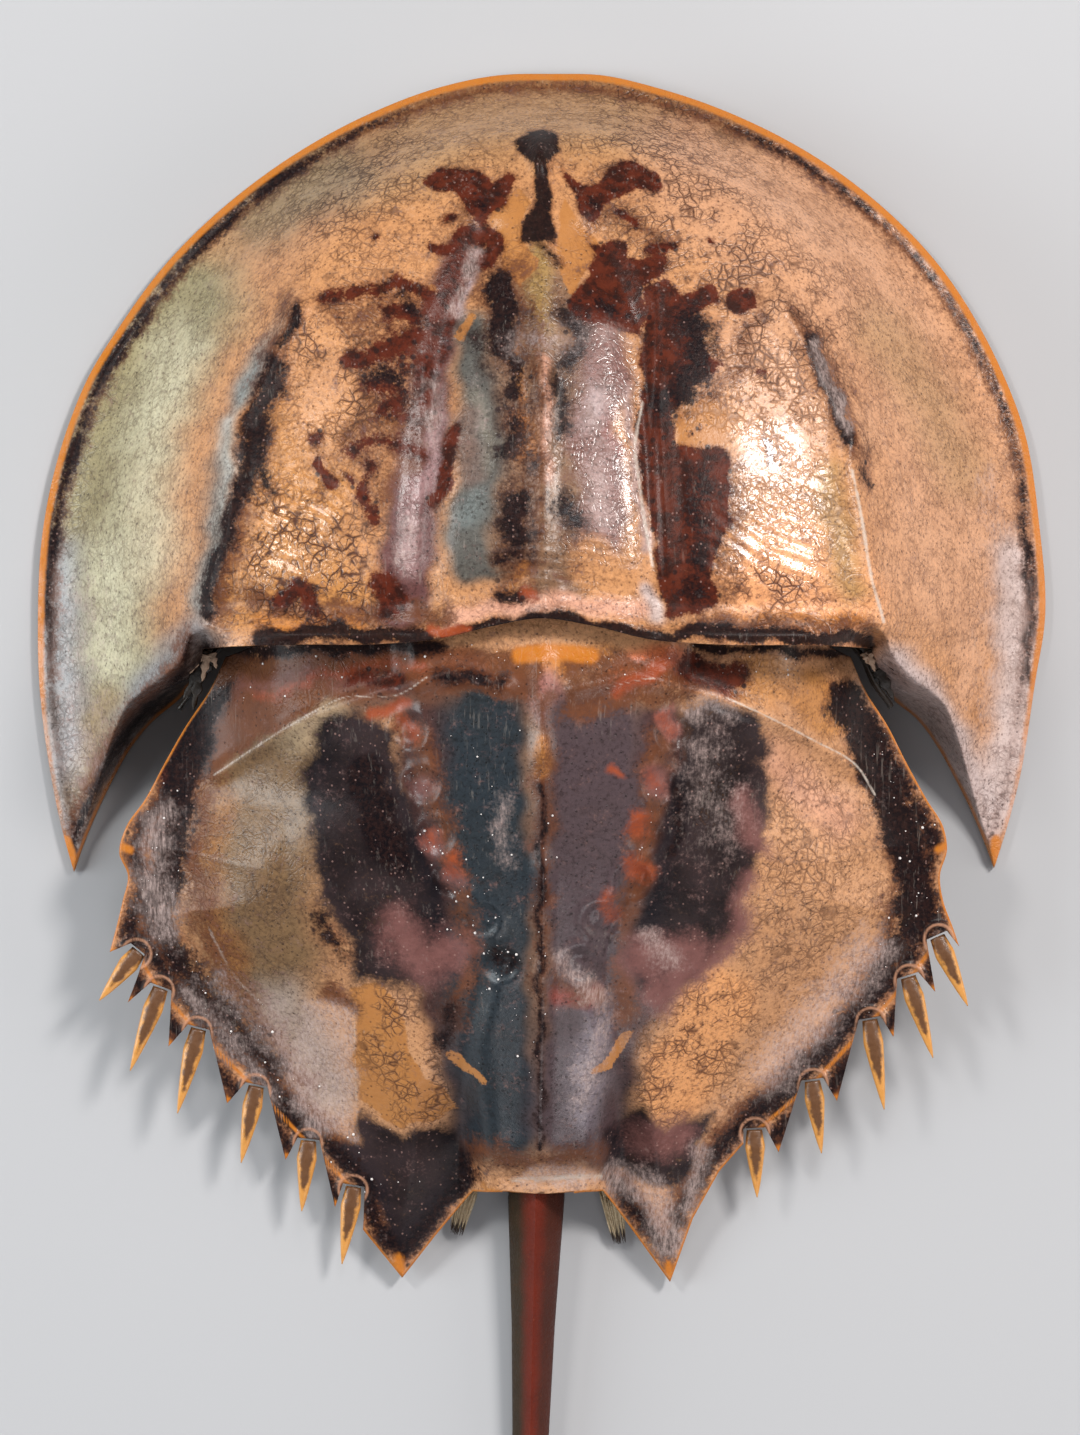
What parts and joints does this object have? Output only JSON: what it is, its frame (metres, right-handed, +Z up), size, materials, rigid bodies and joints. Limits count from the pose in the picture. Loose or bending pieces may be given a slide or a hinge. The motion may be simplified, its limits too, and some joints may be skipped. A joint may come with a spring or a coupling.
{
  "type": "horseshoe crab shell",
  "caption": "Dried horseshoe crab shell lying on its rim: domed front plate, spiny rear plate, loose side spines and a long tail spine.",
  "frame": {"origin": "on the table, under the middle of the shell's box", "axes": "+Y towards the head along the length, -Y towards the tail tip, +Z up, +X to the right seen from above with the head up the page"},
  "size_m": [0.2101, 0.4453, 0.0672],
  "materials": {
    "front_chitin": "thin dried chitin, tan to maroon, satin gloss with fine crackle",
    "rear_chitin": "thin dried chitin, dark brown to slate, worn satin",
    "spine_chitin": "thin amber edges round a dark brown core",
    "tail_chitin": "dark green-brown to maroon, fine grained",
    "dried_membrane": "black dried skin",
    "bristles": "pale stiff bristles with dark tips"
  },
  "bodies": {
    "root": {"front_shell": "front_chitin", "rear_shell": "rear_chitin", "hinge_membrane": "dried_membrane", "side_spine_left_1": "spine_chitin", "side_spine_left_2": "spine_chitin", "side_spine_left_3": "spine_chitin", "side_spine_left_4": "spine_chitin", "side_spine_left_5": "spine_chitin", "side_spine_left_6": "spine_chitin", "side_spine_right_1": "spine_chitin", "side_spine_right_2": "spine_chitin", "side_spine_right_3": "spine_chitin", "side_spine_right_4": "spine_chitin", "side_spine_right_5": "spine_chitin", "tail_spine": "tail_chitin", "bristle_fringe_left": "bristles", "bristle_fringe_right": "bristles"}
  },
  "joints": []
}
